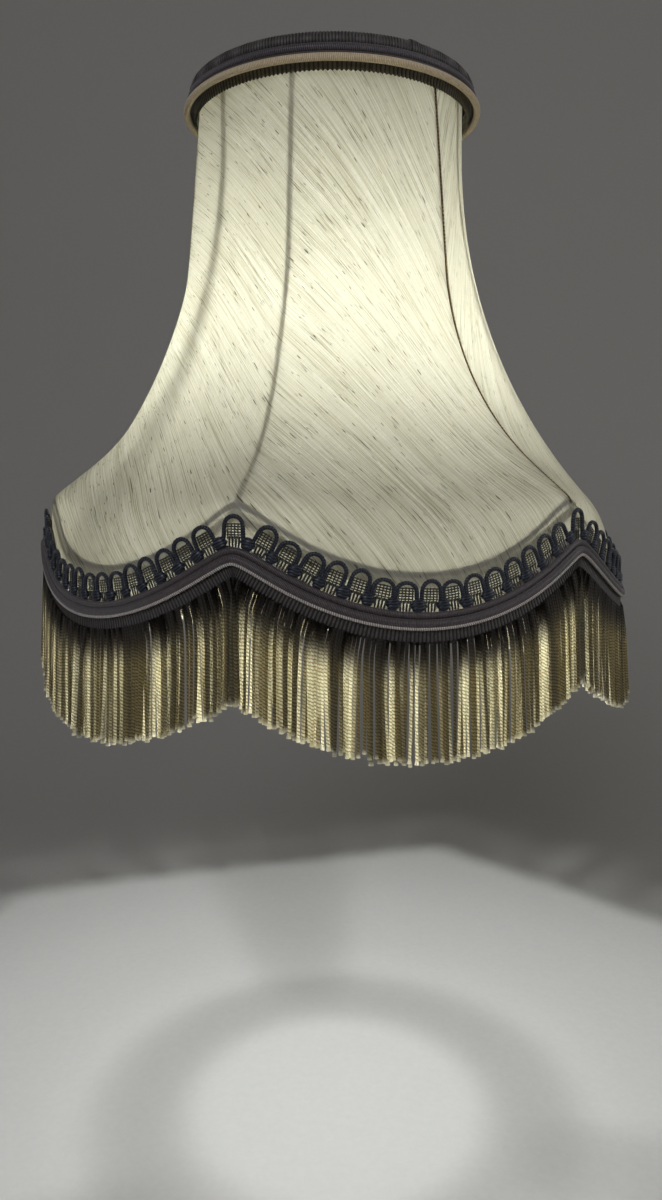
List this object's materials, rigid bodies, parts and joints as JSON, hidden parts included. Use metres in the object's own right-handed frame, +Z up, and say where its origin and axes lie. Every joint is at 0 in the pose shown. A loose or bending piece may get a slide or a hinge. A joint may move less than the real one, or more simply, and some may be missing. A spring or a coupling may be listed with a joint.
{
  "type": "lamp shade",
  "caption": "Bell-shaped fabric table-lamp shade on a wire frame, with a scalloped lower edge, looped braid, fringe and a bored lampholder ring.",
  "frame": {"origin": "centre of the 42 mm lampholder bore in the fitting ring", "axes": "+Z up along the shade's axis, through the bore; -Y towards the middle of the front panel"},
  "size_m": [0.265, 0.2648, 0.2651],
  "materials": {
    "frame_steel": "white epoxy-coated steel wire",
    "tape_cotton": "woven cotton binding tape",
    "cover_silk": "cream slub silk dupion, bias cut",
    "braid_dark": "dark ribbed rayon braid",
    "cord_black": "glossy blue-black rayon cord",
    "piping_beige": "beige rayon piping",
    "heading_olive": "olive-grey woven heading",
    "fringe_cream": "golden-cream twisted rayon fringe"
  },
  "bodies": {
    "root": {"bottom_ring": "frame_steel", "bottom_ring_tape": "tape_cotton", "cover_back": "cover_silk", "cover_front": "cover_silk", "fitting_arm_1": "frame_steel", "fitting_arm_2": "frame_steel", "fitting_arm_3": "frame_steel", "fitting_ring": "frame_steel", "fringe_cords": "fringe_cream", "fringe_heading": "heading_olive", "loop_braid": "cord_black", "lower_roll": "braid_dark", "strut_1": "frame_steel", "strut_2": "frame_steel", "strut_3": "frame_steel", "strut_4": "frame_steel", "strut_5": "frame_steel", "strut_6": "frame_steel", "top_braid": "braid_dark", "top_fine_cord": "cord_black", "top_heading": "heading_olive", "top_piping": "piping_beige", "top_ring": "frame_steel", "top_ring_tape": "tape_cotton", "upper_roll": "braid_dark"}
  },
  "joints": []
}
